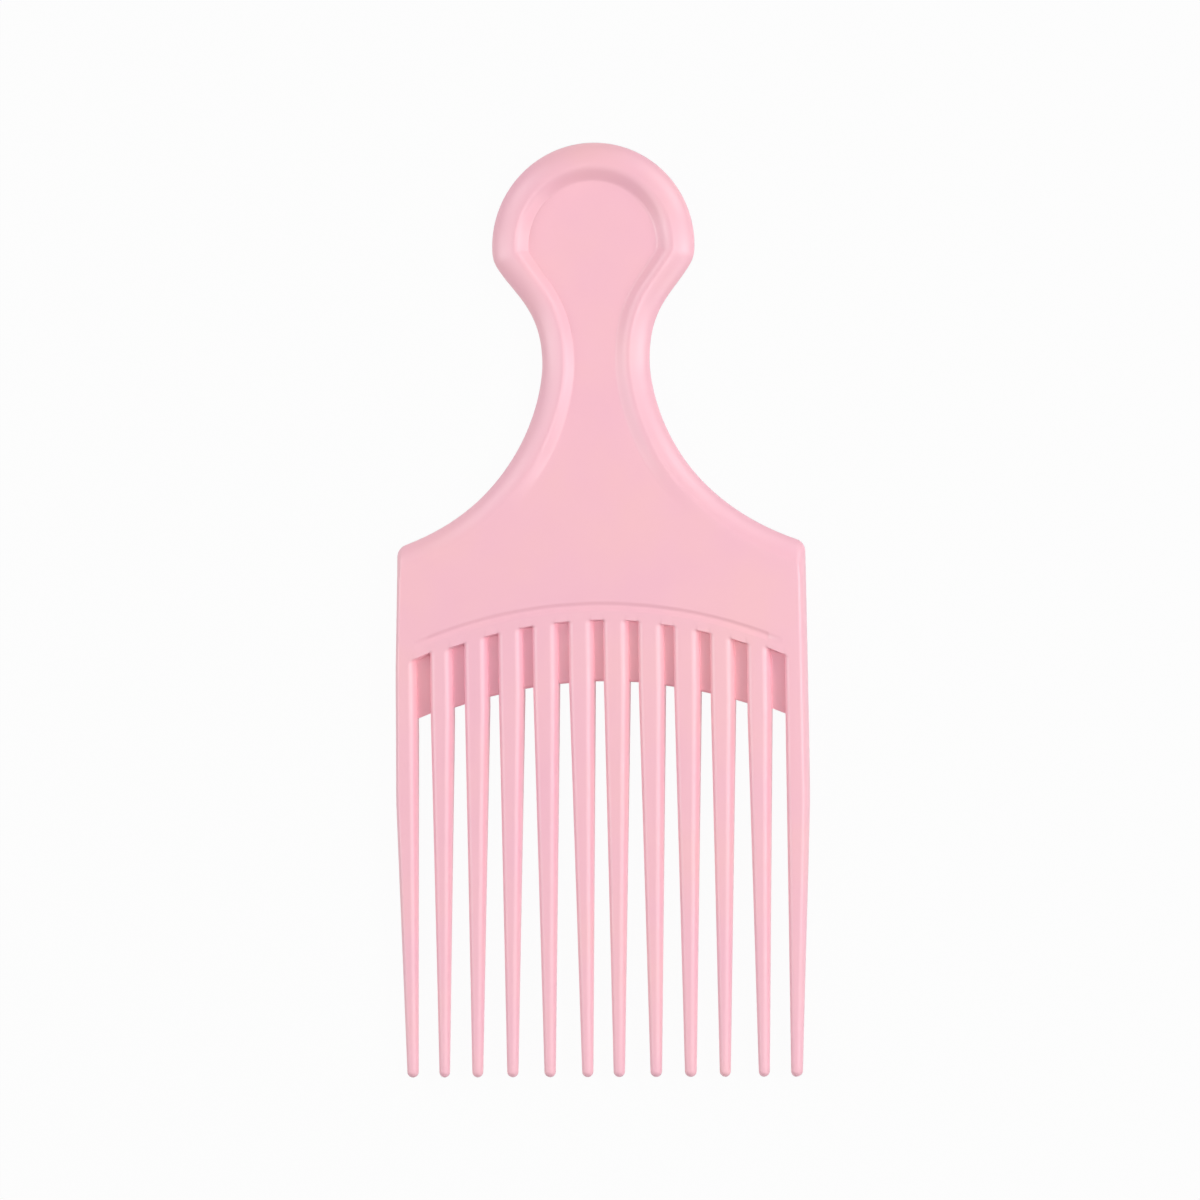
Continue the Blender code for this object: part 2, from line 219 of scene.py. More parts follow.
# Places along the comb and tooth pitches that follow from the sizes
HEAD_Y = TOP_Y - HEAD_RADIUS
NECK_Y = HEAD_Y - HEAD_TO_NECK
SHOULDER_Y = NECK_Y - NECK_TO_SHOULDER
SLOT_Y = SHOULDER_Y - SHOULDER_TO_SLOTS
WIDEST_Y = SHOULDER_Y - SHOULDER_TO_WIDEST
WEB_END_Y = SLOT_Y - WEB_LENGTH
LINE_Y = SLOT_Y + LINE_TO_SLOTS
ROOT_PITCH = (SHOULDER_WIDTH - 2 * END_TOOTH_INSET) / (TOOTH_COUNT - 1)
TIP_PITCH = ROOT_PITCH * TIP_PITCH_SHARE
TIP_RADIUS = TIP_WIDTH / 2
TIP_START_Y = TIP_Y + TIP_RADIUS * math.sin(TIP_BLUNT_ANGLE)
FLARE_MIDDLE_Y = (NECK_Y + SHOULDER_Y) / 2

# Directions and angles
DOWN = (0.0, -1.0)
LEFT, RIGHT = -1, 1
QUARTER = math.pi / 2
SHARP_ANGLE = math.radians(40)

# The plastic's colours and how they are spread over its mottling, from mauve to peach
PLASTIC_MAUVE = (0.960, 0.520, 0.618, 1.0)
PLASTIC_PINK = (0.975, 0.535, 0.615, 1.0)
PLASTIC_PEACH = (0.985, 0.548, 0.600, 1.0)
MAUVE_LEVEL = 0.30
PINK_LEVEL = 0.5
PEACH_LEVEL = 0.70

# The plastic's noises, each as its features per metre and its levels of detail
MOTTLING = (55, 2)
GLOSS_SPOTS = (240, 3)
WAVES = (180, 1)
GRAIN = (4200, 2)

# The plastic's gloss, and the strengths and heights of its low waves and fine grain
ROUGHNESS_LOW = 0.32
ROUGHNESS_HIGH = 0.44
PLASTIC_IOR = 1.60
SPECULAR_LEVEL = 0.62
SHEEN_WEIGHT = 0.05
SHEEN_ROUGHNESS = 0.5
WAVE_STRENGTH = 0.5
WAVE_HEIGHT = 0.00005
GRAIN_STRENGTH = 0.35
GRAIN_HEIGHT = 0.00001

# The table, which shows white by a share of glow, and the ambient light on the comb
FLOOR_HALF = 3.0
FLOOR_GAP = 0.00005
FLOOR_PAINT = (0.5, 0.5, 0.5, 1.0)
FLOOR_GLOW_SHARE = 0.96
WHITE = (1.0, 1.0, 1.0, 1.0)
AMBIENT_LEVEL = 0.15

# Each softbox's tilt from straight above and turn from the comb's right, in degrees,
# and the level of light that it gives a surface facing it; none stands low enough to
# glare off the flat front in a view from the side
SOFTBOX_SIZE = 0.32
SOFTBOX_DISTANCE = 1.0
SOFTBOXES = (
    (15, 0, 0.20),
    (42, 0, 0.14),
    (60, 0, 0.23),
    (62, -40, 0.13),
    (62, 42, 0.17),
    (62, 68, 0.08),
    (40, 180, 0.13),
    (62, 180, 0.20),
    (60, 145, 0.14),
)


def blend(start, end, share):
    """Value a share of the way from start to end."""
    return start + (end - start) * share


def clamp(share):
    return min(max(share, 0.0), 1.0)


def ease(share):
    """Soft step from 0 to 1, level at both ends."""
    return (1 - math.cos(math.pi * clamp(share))) / 2


def arc_drop(x, radius):
    """How far an arc that peaks on the comb's axis has fallen at x."""
    return radius - math.sqrt(radius ** 2 - x ** 2)


def arc_points(centre, radius, start, end, steps):
    angles = [blend(start, end, step / steps) for step in range(steps + 1)]
    return [(centre[0] + radius * math.cos(a), centre[1] + radius * math.sin(a)) for a in angles]


def curve_points(start, start_way, end, end_way, arm_shares, steps):
    """Cubic curve between two points that leaves and arrives along unit directions."""
    chord = math.dist(start, end)
    first = [p + w * chord * arm_shares[0] for p, w in zip(start, start_way)]
    second = [p - w * chord * arm_shares[1] for p, w in zip(end, end_way)]
    points = []
    for step in range(steps + 1):
        t = step / steps
        weights = ((1 - t) ** 3, 3 * t * (1 - t) ** 2, 3 * t * t * (1 - t), t ** 3)
        corners = zip(start, first, second, end)
        points.append(tuple(sum(w * c for w, c in zip(weights, axis)) for axis in corners))
    return points


def handle_contour(head_radius, corner_radius, neck_half, shoulder_x, shoulder_y, shoulder_radius):
    """Right half of a contour of the handle, from the top of the head to the handle's end."""
    head = arc_points((0, HEAD_Y), head_radius, QUARTER, -HEAD_SIDE_ANGLE, HEAD_STEPS)
    reach = head_radius - corner_radius
    corner_centre = (reach * math.cos(HEAD_SIDE_ANGLE), HEAD_Y - reach * math.sin(HEAD_SIDE_ANGLE))
    corner = arc_points(corner_centre, corner_radius, -HEAD_SIDE_ANGLE, -HEAD_TAPER_ANGLE, CORNER_STEPS)
    taper_way = (-math.sin(HEAD_TAPER_ANGLE), -math.cos(HEAD_TAPER_ANGLE))
    neck = (neck_half, NECK_Y)
    upper = curve_points(corner[-1], taper_way, neck, DOWN, UPPER_NECK_ARM_SHARES, NECK_STEPS)
    flare_way = (math.sin(SHOULDER_ANGLE), -math.cos(SHOULDER_ANGLE))
    trim = shoulder_radius * math.tan(SHOULDER_ANGLE / 2)
    flare_end = (shoulder_x - trim * flare_way[0], shoulder_y - trim * flare_way[1])
    flare = curve_points(neck, DOWN, flare_end, flare_way, FLARE_ARM_SHARES, FLARE_STEPS)
    shoulder_centre = (shoulder_x - shoulder_radius, shoulder_y - trim)
    shoulder = arc_points(shoulder_centre, shoulder_radius, SHOULDER_ANGLE, 0, SHOULDER_STEPS)
    return head + corner[1:] + upper[1:] + flare[1:] + shoulder[1:] + [(shoulder_x, HANDLE_END_Y)]


def panel_recess(y):
    """Depth of the handle's panel, full in the head and fading out above the shoulders."""
    fade_top = NECK_Y - PANEL_FADE_TOP
    fade_bottom = SHOULDER_Y + PANEL_FADE_BOTTOM
    full = blend(NECK_PANEL_RECESS, PANEL_RECESS, ease((y - NECK_Y) / (HEAD_Y - NECK_Y)))
    return full * ease((y - fade_bottom) / (fade_top - fade_bottom))


def taper_share(y):
    """0 at the slot tops and above, 1 where the tips begin to round."""
    return clamp((SLOT_Y - y) / (SLOT_Y - TIP_START_Y))


def tooth_width(y):
    return blend(ROOT_PITCH - ROOT_GAP, TIP_WIDTH, taper_share(y))


def tooth_axis(tooth, y):
    place = tooth - (TOOTH_COUNT - 1) / 2
    return place * blend(ROOT_PITCH, TIP_PITCH, taper_share(y))


def tooth_drift(tooth, y):
    """How far a tooth has bent aside at y, from nothing at its root."""
    end = TOOTH_ENDS_Y[tooth]
    return TIP_DRIFT_PX[tooth] * PIXEL * clamp((end - y) / (end - TIP_START_Y))


def is_outer(tooth, side):
    """The flanks of the two end teeth that carry on the sides of the spine."""
    return (tooth, side) in ((0, LEFT), (TOOTH_COUNT - 1, RIGHT))


def handle_shift(y):
    """How far the handle's middle line lies to the right of straight at y."""
    if y > NECK_Y:
        return blend(HEAD_SHIFT_PX, NECK_SHIFT_PX, ease((HEAD_Y - y) / (HEAD_Y - NECK_Y))) * PIXEL
    share = ease((FLARE_MIDDLE_Y - y) / (FLARE_MIDDLE_Y - SHOULDER_Y))
    return blend(NECK_SHIFT_PX, SHOULDER_SHIFT_PX, share) * PIXEL


def crest_shift(y):
    """How far the rim's crest lies to the right of its place beside the handle's middle."""
    return CREST_SHIFT_PX * PIXEL * ease((y - SHOULDER_Y) / CREST_SHIFT_RUN)


def side_shift(side, y):
    """How far a side of the spine and the end tooth below it lies to the right of even."""
    if side == LEFT:
        return SHOULDER_SHIFT_PX * PIXEL * ease((y - WEB_END_Y) / (HANDLE_END_Y - WEB_END_Y))
    share = ease((WIDEST_Y - y) / (WIDEST_Y - TIP_START_Y))
    return blend(SHOULDER_SHIFT_PX, TIP_SIDE_SHIFT_PX, share) * PIXEL


def side_line(y):
    """Half width over the spine and the end teeth."""
    shoulder_half = SHOULDER_WIDTH / 2
    widest_half = shoulder_half + SIDE_SWELL
    if y > WIDEST_Y:
        return blend(shoulder_half, widest_half, (HANDLE_END_Y - y) / (HANDLE_END_Y - WIDEST_Y))
    tip_half = tooth_axis(TOOTH_COUNT - 1, TIP_START_Y) + TIP_WIDTH / 2
    return blend(widest_half, tip_half, (WIDEST_Y - y) / (WIDEST_Y - TIP_START_Y))


def flank_line(tooth, side, y):
    """Where a flank of a tooth meets the parting plane; beside a slot it runs straight up."""
    if is_outer(tooth, side):
        return side * side_line(y) + side_shift(side, y)
    y = min(y, TOOTH_ENDS_Y[tooth])
    fade = 1 - SLOT_FADE_SHARE * taper_share(y)
    trim = END_TOOTH_TRIM * (1 - taper_share(y)) if is_outer(tooth, -side) else 0
    slot = slot_beside(tooth, side)
    trim += SLOT_WIDER_PX[slot] * PIXEL / 2 * fade
    shift = SLOT_SHIFT_PX[slot] * PIXEL * fade
    return tooth_axis(tooth, y) + side * (tooth_width(y) / 2 - trim) + shift


def flank_width(tooth, side, y):
    root_width = SIDE_EDGE_WIDTH if is_outer(tooth, side) else ROOT_FLANK_SHARE * tooth_width(SLOT_Y)
    return blend(root_width, TIP_FLANK_SHARE * TIP_WIDTH, taper_share(y))


def flank_power(tooth, side, y):
    """Power of a flank's round at y, an ellipse's on the comb's sides and at the tips."""
    if is_outer(tooth, side):
        return ELLIPSE_POWER
    return blend(ROOT_FLANK_POWER, ELLIPSE_POWER, taper_share(y))


def flank_point(tooth, side, angle, y, half):
    """Place and half thickness on a flank's round, 0 degrees at the parting plane."""
    inset = (1 - math.cos(angle)) * flank_width(tooth, side, y)
    x = flank_line(tooth, side, y) - side * inset
    height = math.sin(angle) ** flank_power(tooth, side, y)
    return x + tooth_drift(tooth, y), y, half * height


def tooth_half_depth(tooth, y):
    """Half thickness of a tooth, full at its root and easing into a straight taper."""
    run = TOOTH_ENDS_Y[tooth] - y
    length = TOOTH_ENDS_Y[tooth] - TIP_START_Y
    straight = length - DEPTH_EASE_LENGTH / 2
    if run < DEPTH_EASE_LENGTH:
        share = run ** 2 / (2 * DEPTH_EASE_LENGTH) / straight
    else:
        share = (run - DEPTH_EASE_LENGTH / 2) / straight
    return blend(THICKNESS, TIP_DEPTH, clamp(share)) / 2


def web_half(slot, share):
    """Half thickness of a slot's web a share of the way down it; the outer webs are thinner."""
    middle = (TOOTH_COUNT - 2) / 2
    outer = abs(slot - middle) / middle
    return blend(WEB_TOP_HALF, WEB_END_HALF, share) - WEB_OUTER_DROP * outer ** 2


def slot_beside(tooth, side):
    """Which slot lies beside a flank, counted from the left like the teeth."""
    return tooth if side == RIGHT else tooth - 1


def slot_lift(tooth, side):
    """How far the slot beside a flank lies above its even place."""
    return 0 if is_outer(tooth, side) else SLOT_LIFT_PX[slot_beside(tooth, side)] * PIXEL


def root_angle(half):
    """Where on a root's flank the half thickness is the given one."""
    return math.asin((half / HALF_THICKNESS) ** (1 / ROOT_FLANK_POWER))


def web_angle(tooth, side, share):
    """Where on a flank's round the web beside it begins, a share of the way down the web.

    An outer flank has no web beside it, and is cut there only to have as many steps.
    """
    if is_outer(tooth, side):
        return QUARTER * WEB_EDGE_STEPS / (WEB_EDGE_STEPS + FLANK_STEPS)
    return root_angle(web_half(slot_beside(tooth, side), share))


def low_angles(tooth, side):
    """Steps of a flank's round from the parting plane up to just below the web's face."""
    if is_outer(tooth, side):
        return [web_angle(tooth, side, 1) * step / WEB_EDGE_STEPS for step in range(WEB_EDGE_STEPS)]
    web = web_half(slot_beside(tooth, side), 1)
    heights = [web * math.sin(QUARTER * step / WEB_EDGE_STEPS) for step in range(WEB_EDGE_STEPS)]
    return [root_angle(height) for height in heights]


def high_angles(tooth, side, share):
    """Steps of a flank's round from the web's face up to the front."""
    start = web_angle(tooth, side, share)
    return [blend(start, QUARTER, step / FLANK_STEPS) for step in range(FLANK_STEPS + 1)]


def flank_angles(tooth, side):
    return low_angles(tooth, side) + high_angles(tooth, side, 1)


class Shell:
    """A closed mesh made alike on the front and the back of the parting plane."""

    def __init__(self):
        self.mesh = bmesh.new()

    def pair(self, x, y, half):
        """The front and back points at one place, a single point on the parting plane."""
        front = self.mesh.verts.new((x, y, HALF_THICKNESS + half))
        back = self.mesh.verts.new((x, y, HALF_THICKNESS - half)) if half else front
        return front, back

    def face(self, *pairs):
        self.mesh.faces.new([front for front, back in pairs])
        self.mesh.faces.new([back for front, back in reversed(pairs)])

    def band(self, upper, lower):
        """Faces between two lines of pairs that run side by side."""
        for index in range(len(upper) - 1):
            self.face(lower[index], lower[index + 1], upper[index + 1], upper[index])

    def cap(self, section):
        """Flat end that joins the front to the back along a line of pairs."""
        for (front, back), (next_front, next_back) in zip(section, section[1:]):
            corners = dict.fromkeys((front, next_front, next_back, back))
            self.mesh.faces.new(list(corners))

    def make_piece(self, name, node, material):
        """The finished piece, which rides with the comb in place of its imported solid."""
        bmesh.ops.recalc_face_normals(self.mesh, faces=self.mesh.faces)
        data = bpy.data.meshes.new(name)
        self.mesh.to_mesh(data)
        self.mesh.free()
        data.shade_smooth()
        data.set_sharp_from_angle(angle=SHARP_ANGLE)
        data.materials.append(material)
        piece = bpy.data.objects.new(name, data)
        bpy.context.scene.collection.objects.link(piece)
        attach(piece, "root")
        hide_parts(node)


def rim_contours():
    """Right halves of the rim's contours: outline, crest, foot and the foot fillet's end."""
    shoulder_half = SHOULDER_WIDTH / 2
    outline = handle_contour(HEAD_RADIUS, HEAD_CORNER_RADIUS, NECK_WIDTH / 2,
                             shoulder_half, SHOULDER_Y, SHOULDER_RADIUS)
    crest_half = NECK_WIDTH / 2 - NECK_CREST_INSET
    crest_x = shoulder_half - SIDE_EDGE_WIDTH
    crest_y = SHOULDER_Y - SHOULDER_CREST_DROP
    crest = handle_contour(HEAD_RADIUS - CREST_INSET, HEAD_CORNER_RADIUS - CREST_INSET, crest_half,
                           crest_x, crest_y, CREST_SHOULDER_RADIUS)
    feet = []
    for inset in (0.0, FOOT_FILLET):
        feet.append(handle_contour(HEAD_RADIUS - CREST_INSET - RIM_SLOPE_WIDTH - inset,
                                   INNER_CORNER_RADIUS, crest_half - NECK_SLOPE_WIDTH - inset,
                                   crest_x - SHOULDER_SLOPE_WIDTH - inset,
                                   crest_y - SHOULDER_SLOPE_DROP - inset, CREST_SHOULDER_RADIUS))
    return outline, crest, *feet


def rim_point(outer, crest, angle):
    """Place, half thickness and share of the crest's shift on the rim's outer round.

    The angle is 0 degrees at the outline and 90 at the crest.
    """
    power = blend(ELLIPSE_POWER, RIDGE_POWER, ease((outer[1] - HANDLE_END_Y) / RIDGE_RUN))
    share = 1 - math.cos(angle) ** power
    half = HALF_THICKNESS * math.sin(angle) ** power
    return blend(outer[0], crest[0], share), blend(outer[1], crest[1], share), half, share


def slope_drop(share):
    """Share of the recess a share of the way down the rim's inner slope, soft and then straight."""
    soft = SLOPE_SOFT_SHARE
    if share < soft:
        return share ** 2 / (2 * soft) / (1 - soft / 2)
    return (share - soft / 2) / (1 - soft / 2)


def loft_lines():
    """Right halves of all the handle's lines, with the values that rim_point gives."""
    outline, crest, foot, panel = rim_contours()
    lines = []
    for step in range(RIM_EDGE_STEPS + 1):
        angle = QUARTER * step / RIM_EDGE_STEPS
        lines.append([rim_point(a, b, angle) for a, b in zip(outline, crest)])
    for step in range(1, RIM_SLOPE_STEPS + 1):
        share = step / RIM_SLOPE_STEPS
        line = []
        for a, b in zip(crest, foot):
            y = blend(a[1], b[1], share)
            half = HALF_THICKNESS - panel_recess(y) * slope_drop(share)
            line.append((blend(a[0], b[0], share), y, half, 1 - share))
        lines.append(line)
    lines.append([(x, y, HALF_THICKNESS - panel_recess(y), 0.0) for x, y in panel])
    return lines


def make_handle(material):
    """The rim, from its outline over the crest to its foot, and the panel inside it."""
    shell = Shell()
    lines = []
    for points in loft_lines():
        right, left = [], []
        for step, (x, y, half, crest_share) in enumerate(points):
            middle = handle_shift(y) + crest_share * crest_shift(y)
            right.append(shell.pair(middle + x, y, half))
            if step:
                left.append(shell.pair(middle - x, y, half))
        lines.append(left[::-1] + right)
    for outer, inner in zip(lines, lines[1:]):
        shell.band(outer, inner)
    panel = lines[-1]
    top = len(panel) // 2
    shell.face(panel[top - 1], panel[top + 1], panel[top])
    for step in range(1, top):
        shell.face(panel[top - step - 1], panel[top + step + 1], panel[top + step], panel[top - step])
    left_end = [line[0] for line in lines]
    right_end = [line[-1] for line in lines]
    shell.cap(left_end + right_end[::-1])
    shell.make_piece("handle_moulding", "handle", material)


def line_depth(x, depth_share):
    """Depth of the fine arc line at x, run out softly at its ends."""
    return LINE_DEPTH * depth_share * ease((LINE_SPAN / 2 - abs(x)) / LINE_END_FADE)


def spine_column(shell, tooth, side, step):
    """Pairs down one line of the spine, from the handle's end to the web's end."""
    outer = is_outer(tooth, side)

    def point(y, web_share, open_share):
        """A place at y, where open_share tells how far the slot beside it has opened."""
        angle = flank_step_angle(tooth, side, step, web_share)
        x, y, half = flank_point(tooth, side, angle, y, HALF_THICKNESS)
        return x, y, half if outer else blend(HALF_THICKNESS, half, open_share)

    x = point(SLOT_Y, 0, 0)[0]
    line_y = LINE_Y - arc_drop(x, LINE_RADIUS)
    lift = slot_lift(tooth, side)
    slot_y = SLOT_Y + lift - arc_drop(x, SLOT_ARC_RADIUS)
    web_end_y = WEB_END_Y + lift - arc_drop(x, WEB_ARC_RADIUS) + WEB_EDGE_LENGTH
    column = [shell.pair(*point(HANDLE_END_Y, 0, 0))]
    for offset_share, depth_share in zip(LINE_OFFSET_SHARES, LINE_DEPTH_SHARES):
        x, y, half = point(line_y + offset_share * LINE_WIDTH, 0, 0)
        column.append(shell.pair(x, y, half - (0 if outer else line_depth(x, depth_share))))
    run = blend(SLOT_WALL_RUN, BEVEL_RUN, ease(max(step, 0) / FLANK_STEPS / BEVEL_RUN_SHARE))
    top_y = slot_y + (run - SLOT_WALL_RUN) / 2
    for wall_step in range(SLOT_WALL_STEPS + 1):
        share = wall_step / SLOT_WALL_STEPS
        column.append(shell.pair(*point(top_y - share * run, 0, ease(share))))
    foot_y = top_y - run
    for row in range(1, WEB_ROWS + 1):
        share = row / WEB_ROWS
        column.append(shell.pair(*point(blend(foot_y, web_end_y, share), share, 1)))
    return column


def flank_step_angle(tooth, side, step, web_share):
    """Angle of one step up a flank; steps below 0 lie under the web's face."""
    if step < 0:
        return low_angles(tooth, side)[step]
    return high_angles(tooth, side, web_share)[step]


def web_edge(shell, tooth, side):
    """Pairs from just below a web's face round its lower edge to the parting plane, on a flank."""
    points = []
    x = flank_line(tooth, side, SLOT_Y)
    end_y = WEB_END_Y + slot_lift(tooth, side) - arc_drop(x, WEB_ARC_RADIUS)
    for step, angle in enumerate(low_angles(tooth, side)):
        lift = WEB_EDGE_LENGTH * (1 - math.cos(QUARTER * step / WEB_EDGE_STEPS))
        points.append(shell.pair(*flank_point(tooth, side, angle, end_y + lift, HALF_THICKNESS)))
    return points[::-1]


def face_supports(left, right, half):
    """Places across a tooth's flat front, near both its edges."""
    xs = [blend(left[0], right[0], share) for share in (FACE_SUPPORT_SHARE, 1 - FACE_SUPPORT_SHARE)]
    return [(x, left[1], half) for x in xs]


def tooth_section(shell, tooth, y, half, scale=1.0, drop=0.0):
    """Line of pairs across a tooth at y, from its left side to its right."""
    left = [flank_point(tooth, LEFT, a, y, half) for a in flank_angles(tooth, LEFT)]
    right = [flank_point(tooth, RIGHT, a, y, half) for a in flank_angles(tooth, RIGHT)]
    points = left + face_supports(left[-1], right[-1], half) + right[::-1]
    axis = tooth_axis(tooth, y) + tooth_drift(tooth, y)
    return [shell.pair(blend(axis, x, scale), y - drop, z * scale) for x, _, z in points]


def support_column(shell, left, right, share):
    """A column down a tooth's flat front, a share of the way from one column to the next."""
    column = []
    for (a, _), (b, _) in zip(left, right):
        point = a.co.lerp(b.co, share)
        column.append(shell.pair(point.x, point.y, point.z - HALF_THICKNESS))
    return column


def spine_tooth(shell, tooth):
    """Columns of one tooth's width of the spine."""
    sides = []
    for side in (LEFT, RIGHT):
        first = -WEB_EDGE_STEPS if is_outer(tooth, side) else 0
        sides.append([spine_column(shell, tooth, side, step) for step in range(first, FLANK_STEPS + 1)])
    left, right = sides
    supports = [support_column(shell, left[-1], right[-1], share)
                for share in (FACE_SUPPORT_SHARE, 1 - FACE_SUPPORT_SHARE)]
    return left + supports + right[::-1]


def make_spine(material):
    """The plate with its arc line, the webs and the tooth roots, built from left to right."""
    shell = Shell()
    all_columns = []
    last_edge = None
    for tooth in range(TOOTH_COUNT):
        columns = spine_tooth(shell, tooth)
        ends = [column[-1] for column in columns]
        left_edge = right_edge = None
        if not is_outer(tooth, LEFT):
            left_edge = web_edge(shell, tooth, LEFT)
            ends = left_edge[::-1] + ends
        if not is_outer(tooth, RIGHT):
            right_edge = web_edge(shell, tooth, RIGHT)
            ends = ends + right_edge
        section = tooth_section(shell, tooth, TOOTH_ENDS_Y[tooth], HALF_THICKNESS)
        shell.band(ends, section)
        shell.cap(section)
        if left_edge:
            shell.band([all_columns[-1][-1], *last_edge], [columns[0][-1], *left_edge])
        last_edge = right_edge
        all_columns += columns
    for left, right in zip(all_columns, all_columns[1:]):
        shell.band(left, right)
    shell.cap([column[0] for column in all_columns])
    shell.make_piece("spine_moulding", "spine", material)


def make_tooth(tooth, material):
    """A free tooth, from its flat section with the spine to its blunt tip."""
    shell = Shell()
    sections = []
    for step in range(TOOTH_STEPS + 1):
        y = blend(TOOTH_ENDS_Y[tooth], TIP_START_Y, step / TOOTH_STEPS)
        sections.append(tooth_section(shell, tooth, y, tooth_half_depth(tooth, y)))
    for step in range(1, TIP_STEPS + 1):
        angle = TIP_BLUNT_ANGLE * step / TIP_STEPS
        sections.append(tooth_section(shell, tooth, TIP_START_Y, TIP_DEPTH / 2, scale=math.cos(angle),
                                      drop=TIP_RADIUS * math.sin(angle)))
    for upper, lower in zip(sections, sections[1:]):
        shell.band(upper, lower)
    shell.cap(sections[0])
    shell.cap(sections[-1])
    node = f"tooth_{tooth + 1:02d}"
    shell.make_piece(node + "_moulding", node, material)


def soft_touch_plastic():
    """Satin pink plastic, faintly mottled, with gloss that varies, low waves and fine grain."""
    material = bpy.data.materials.new("soft_touch_plastic_satin")
    material.use_nodes = True
    nodes, links = material.node_tree.nodes, material.node_tree.links
    shader = nodes["Principled BSDF"]
    place = nodes.new("ShaderNodeTexCoord")

    def noise(scale, detail):
        texture = nodes.new("ShaderNodeTexNoise")
        texture.inputs["Scale"].default_value = scale
        texture.inputs["Detail"].default_value = detail
        links.new(place.outputs["Object"], texture.inputs["Vector"])
        return texture.outputs["Fac"]

    def bump(height, strength, distance):
        relief = nodes.new("ShaderNodeBump")
        relief.inputs["Strength"].default_value = strength
        relief.inputs["Distance"].default_value = distance
        links.new(height, relief.inputs["Height"])
        return relief

    ramp = nodes.new("ShaderNodeValToRGB")
    colours = ramp.color_ramp.elements
    colours[0].position = MAUVE_LEVEL
    colours[0].color = PLASTIC_MAUVE
    colours[1].position = PEACH_LEVEL
    colours[1].color = PLASTIC_PEACH
    colours.new(PINK_LEVEL).color = PLASTIC_PINK
    links.new(noise(*MOTTLING), ramp.inputs["Fac"])
    links.new(ramp.outputs["Color"], shader.inputs["Base Color"])

    gloss = nodes.new("ShaderNodeMapRange")
    gloss.inputs["To Min"].default_value = ROUGHNESS_LOW
    gloss.inputs["To Max"].default_value = ROUGHNESS_HIGH
    links.new(noise(*GLOSS_SPOTS), gloss.inputs["Value"])
    links.new(gloss.outputs["Result"], shader.inputs["Roughness"])

    waves = bump(noise(*WAVES), WAVE_STRENGTH, WAVE_HEIGHT)
    grain = bump(noise(*GRAIN), GRAIN_STRENGTH, GRAIN_HEIGHT)
    links.new(waves.outputs["Normal"], grain.inputs["Normal"])
    links.new(grain.outputs["Normal"], shader.inputs["Normal"])

    shader.inputs["IOR"].default_value = PLASTIC_IOR
    shader.inputs["Specular IOR Level"].default_value = SPECULAR_LEVEL
    shader.inputs["Sheen Weight"].default_value = SHEEN_WEIGHT
    shader.inputs["Sheen Roughness"].default_value = SHEEN_ROUGHNESS
    return material


def seen_directly(nodes, links):
    """1 for what the camera sees straight or in a reflection, 0 for light that bounces."""
    path = nodes.new("ShaderNodeLightPath")
    total = path.outputs["Is Camera Ray"]
    for name in ("Is Glossy Ray", "Is Transmission Ray"):
        highest = nodes.new("ShaderNodeMath")
        highest.operation = "MAXIMUM"
        links.new(total, highest.inputs[0])
        links.new(path.outputs[name], highest.inputs[1])
        total = highest.outputs["Value"]
    return total


def make_floor():
    """White table that shows white and keeps the comb's soft shadow."""
    mesh = bmesh.new()
    corners = ((-1, -1), (1, -1), (1, 1), (-1, 1))
    mesh.faces.new([mesh.verts.new((x * FLOOR_HALF, y * FLOOR_HALF, -FLOOR_GAP)) for x, y in corners])
    data = bpy.data.meshes.new("floor")
    mesh.to_mesh(data)
    mesh.free()
    material = bpy.data.materials.new("white_table")
    material.use_nodes = True
    nodes, links = material.node_tree.nodes, material.node_tree.links
    nodes.clear()
    paint = nodes.new("ShaderNodeBsdfDiffuse")
    paint.inputs["Color"].default_value = FLOOR_PAINT
    glow = nodes.new("ShaderNodeEmission")
    share = nodes.new("ShaderNodeMath")
    share.operation = "MULTIPLY"
    share.inputs[1].default_value = FLOOR_GLOW_SHARE
    links.new(seen_directly(nodes, links), share.inputs[0])
    mix = nodes.new("ShaderNodeMixShader")
    links.new(share.outputs["Value"], mix.inputs["Fac"])
    links.new(paint.outputs["BSDF"], mix.inputs[1])
    links.new(glow.outputs["Emission"], mix.inputs[2])
    output = nodes.new("ShaderNodeOutputMaterial")
    links.new(mix.outputs["Shader"], output.inputs["Surface"])
    data.materials.append(material)
    floor = bpy.data.objects.new("floor", data)
    bpy.context.scene.collection.objects.link(floor)


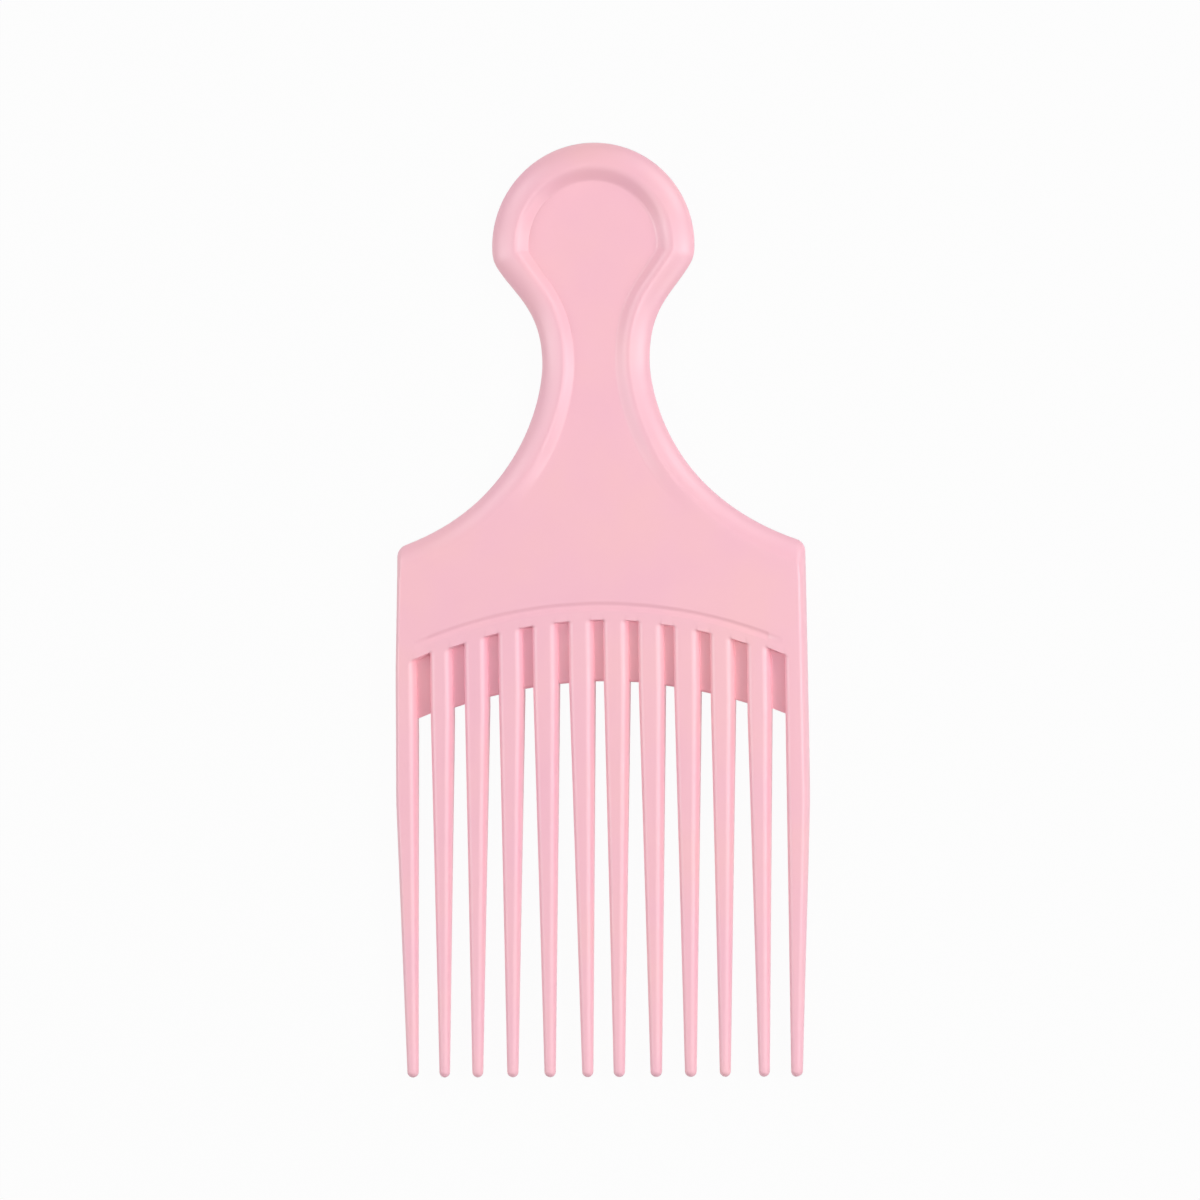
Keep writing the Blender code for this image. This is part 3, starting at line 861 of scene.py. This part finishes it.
def make_world():
    """Even white surroundings: white to the eye, and a low ambient light for the comb."""
    world = bpy.data.worlds.new("studio")
    world.use_nodes = True
    bpy.context.scene.world = world
    nodes, links = world.node_tree.nodes, world.node_tree.links
    background = nodes["Background"]
    background.inputs["Color"].default_value = WHITE
    path = nodes.new("ShaderNodeLightPath")
    level = nodes.new("ShaderNodeMapRange")
    level.inputs["To Min"].default_value = AMBIENT_LEVEL
    level.inputs["To Max"].default_value = 1.0
    links.new(path.outputs["Is Camera Ray"], level.inputs["Value"])
    links.new(level.outputs["Result"], background.inputs["Strength"])


def add_softbox(tilt, turn, level):
    """A square soft lamp that gives a surface facing it a level of light."""
    tilt, turn = math.radians(tilt), math.radians(turn)
    away = Vector((math.sin(tilt) * math.cos(turn), math.sin(tilt) * math.sin(turn), math.cos(tilt)))
    lamp = bpy.data.lights.new("softbox", "AREA")
    lamp.size = SOFTBOX_SIZE
    lamp.energy = level * (math.pi * SOFTBOX_DISTANCE) ** 2
    lit = bpy.data.objects.new("softbox", lamp)
    lit.location = away * SOFTBOX_DISTANCE
    lit.rotation_euler = away.to_track_quat("Z", "Y").to_euler()
    bpy.context.scene.collection.objects.link(lit)


def make_lights():
    """Softboxes that wrap the comb with light, more of it from the right than the left."""
    for softbox in SOFTBOXES:
        add_softbox(*softbox)


def make_camera():
    """Camera above the comb and a little to its right, which sits in the frame as photographed."""
    offset_x = PHOTO_SIZE_PX / 2 - COMB_MIDDLE_PX[0]
    offset_y = COMB_MIDDLE_PX[1] - PHOTO_SIZE_PX / 2
    x = (offset_x * math.cos(COMB_LEAN) + offset_y * math.sin(COMB_LEAN)) * PIXEL
    y = (offset_y * math.cos(COMB_LEAN) - offset_x * math.sin(COMB_LEAN)) * PIXEL
    data = bpy.data.cameras.new("camera")
    data.lens = data.sensor_width * CAMERA_DISTANCE / (PHOTO_SIZE_PX * PIXEL)
    camera = bpy.data.objects.new("camera", data)
    camera.rotation_euler = (0.0, CAMERA_SIDE_ANGLE, -COMB_LEAN)
    away = camera.rotation_euler.to_matrix() @ Vector((0.0, 0.0, CAMERA_DISTANCE))
    camera.location = Vector((x, y, HALF_THICKNESS)) + away
    bpy.context.scene.collection.objects.link(camera)
    bpy.context.scene.camera = camera


def main():
    plastic = soft_touch_plastic()
    make_handle(plastic)
    make_spine(plastic)
    for tooth in range(TOOTH_COUNT):
        make_tooth(tooth, plastic)
    make_floor()
    make_world()
    make_lights()
    make_camera()
    bpy.context.scene.view_settings.view_transform = "Standard"


main()
